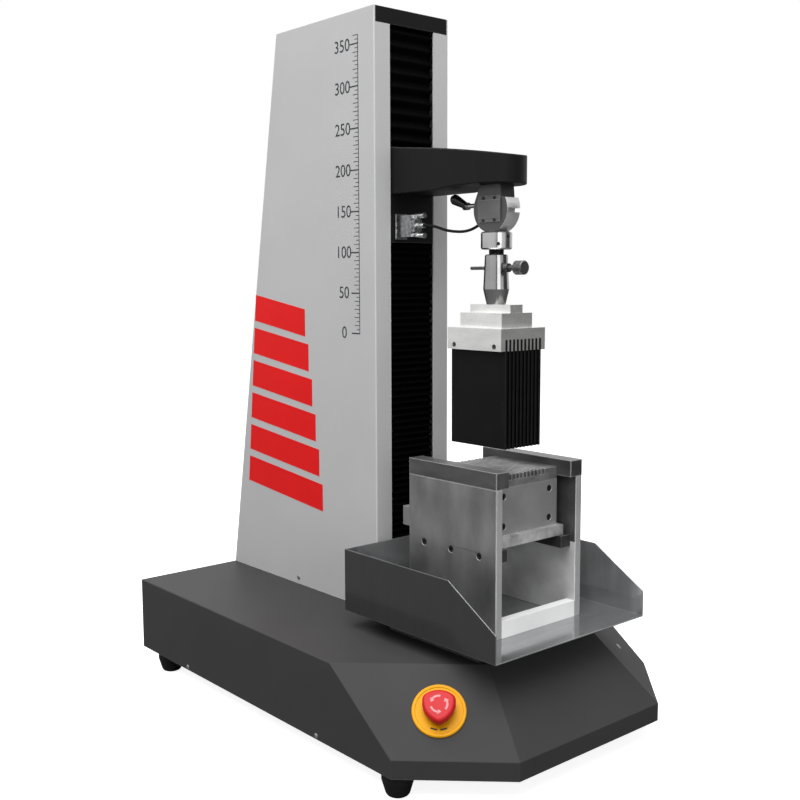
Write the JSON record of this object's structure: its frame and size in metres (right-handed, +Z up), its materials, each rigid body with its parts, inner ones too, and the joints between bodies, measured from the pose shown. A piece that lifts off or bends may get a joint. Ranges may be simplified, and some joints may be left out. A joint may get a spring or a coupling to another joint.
{
  "type": "bench texture analyser with a multi-blade shear head",
  "caption": "Bench texture analyser: screw-driven column, load cell on its arm, multi-blade shear head over a shear cell in a drip tray, emergency stop on the base.",
  "frame": {"origin": "on the bench, in the middle of the base's footprint", "axes": "+Z up, -Y towards the user (the arm's nose points that way), +X to the user's right"},
  "size_m": [0.4286, 0.63, 0.859],
  "materials": {
    "rubber_black": "matt",
    "bellows_rubber": "matt",
    "belt_rubber": "matt",
    "steel_zinc": "satin",
    "hard_steel": "ground",
    "brushed_steel": "brushed",
    "tray_steel": "dull rolled",
    "cast_grey": "satin",
    "base_paint": "fine textured satin",
    "column_paint": "fine textured satin",
    "black_paint": "fine textured satin",
    "anodised_dark": "dark anodised",
    "cell_grey": "satin",
    "machined_aluminium": "machined",
    "blade_black": "dark blued",
    "board_green": "board lacquer",
    "black_plastic": "matt",
    "grey_plastic": "satin",
    "yellow_plastic": "satin",
    "red_plastic": "satin",
    "lamp_green": "clear"
  },
  "bodies": {
    "frame": {"feet": "rubber_black", "base_plate": "steel_zinc", "base_cover": "base_paint", "bed_casting": "cast_grey", "pedestal_table": "cast_grey", "column_foot": "machined_aluminium", "column_spine": "machined_aluminium", "guide_rails": "hard_steel", "bearing_blocks": "machined_aluminium", "column_cover": "column_paint", "column_cap": "black_paint", "cover_screws": "steel_zinc", "motor": "black_paint", "drive_belt": "belt_rubber", "controller_board": "board_green", "power_supply": "steel_zinc", "mains_inlet": "black_plastic", "stop_plate": "yellow_plastic", "stop_contact_block": "black_plastic", "status_lamp": "lamp_green", "drip_tray": "tray_steel", "cell_plate_left": "brushed_steel", "cell_plate_right": "brushed_steel", "cell_top_bars": "anodised_dark", "cell_cross_bars": "brushed_steel", "cell_ledges": "brushed_steel", "cell_screws": "steel_zinc", "shear_box_walls": "machined_aluminium", "guide_grid": "brushed_steel", "floor_grid": "brushed_steel", "bellows_lower": "bellows_rubber", "bellows_upper": "bellows_rubber"},
    "ball_screw_body": {"ball_screw": "hard_steel", "screw_pulley": "machined_aluminium"},
    "motor_shaft_body": {"motor_pulley": "machined_aluminium"},
    "rocker_body": {"power_rocker": "black_plastic"},
    "stop_stem_body": {"stop_stem": "black_plastic"},
    "stop_head_body": {"stop_head": "red_plastic"},
    "crosshead": {"carriage_plate": "black_paint", "guide_blocks": "hard_steel", "ball_nut": "hard_steel", "arm": "black_paint", "load_cell": "cell_grey", "load_cell_plate": "machined_aluminium", "plate_screws": "steel_zinc", "coupling_collar": "brushed_steel", "collar_screws": "black_plastic", "coupling_neck": "black_paint", "coupling_barrel": "brushed_steel", "head_stack": "machined_aluminium", "head_comb": "machined_aluminium", "comb_bolts": "steel_zinc", "shear_blades": "blade_black", "sensor_socket": "hard_steel", "sensor_plug": "grey_plastic", "sensor_cable": "black_plastic"},
    "rear_lever_body": {"clamp_lever_rear": "black_plastic"},
    "side_lever_body": {"clamp_lever_side": "black_plastic"},
    "lock_pin_body": {"lock_pin": "hard_steel"}
  },
  "joints": [
    {"name": "crosshead_slide", "type": "slide", "parent": "frame", "child": "crosshead", "axis": [0, 0, 1], "range_m": [-0.115, 0.085], "deforming": ["bellows_lower", "bellows_upper"]},
    {"name": "screw_spin", "type": "hinge", "parent": "frame", "child": "ball_screw_body", "pos_m": [0, 0.036, 0.12], "axis": [0, 0, 1], "range_deg": [-4146, 3065]},
    {"name": "motor_spin", "type": "hinge", "parent": "frame", "child": "motor_shaft_body", "pos_m": [0, 0.13, 0.12], "axis": [0, 0, 1], "range_deg": [-8286, 6125]},
    {"name": "stop_press", "type": "slide", "parent": "frame", "child": "stop_stem_body", "axis": [0.4865, 0.5132, -0.7071], "range_m": [0, 0.004], "stiffness_N_per_m": 800},
    {"name": "stop_twist", "type": "hinge", "parent": "stop_stem_body", "child": "stop_head_body", "pos_m": [-0.15137, -0.23041, 0.08425], "axis": [-0.4865, -0.5132, 0.7071], "range_deg": [0, 30], "stiffness_Nm_per_rad": 0.3},
    {"name": "power_switch", "type": "hinge", "parent": "frame", "child": "rocker_body", "pos_m": [0.14, 0.3075, 0.0905], "axis": [1, 0, 0], "range_deg": [-16, 0]},
    {"name": "rear_lever_turn", "type": "hinge", "parent": "crosshead", "child": "rear_lever_body", "pos_m": [0, -0.12, 0.6215], "axis": [0, 1, 0], "range_deg": [-180, 180]},
    {"name": "side_lever_turn", "type": "hinge", "parent": "crosshead", "child": "side_lever_body", "pos_m": [0.012, -0.158, 0.624], "axis": [1, 0, 0], "range_deg": [-90, 90]},
    {"name": "lock_pin_pull", "type": "slide", "parent": "crosshead", "child": "lock_pin_body", "axis": [0, -1, 0], "range_m": [0, 0.05]}
  ],
  "couplings": [
    {"joint": "screw_spin", "follows": "crosshead_slide", "rad_per_m": 628.32},
    {"joint": "motor_spin", "follows": "crosshead_slide", "rad_per_m": 1256.6}
  ]
}
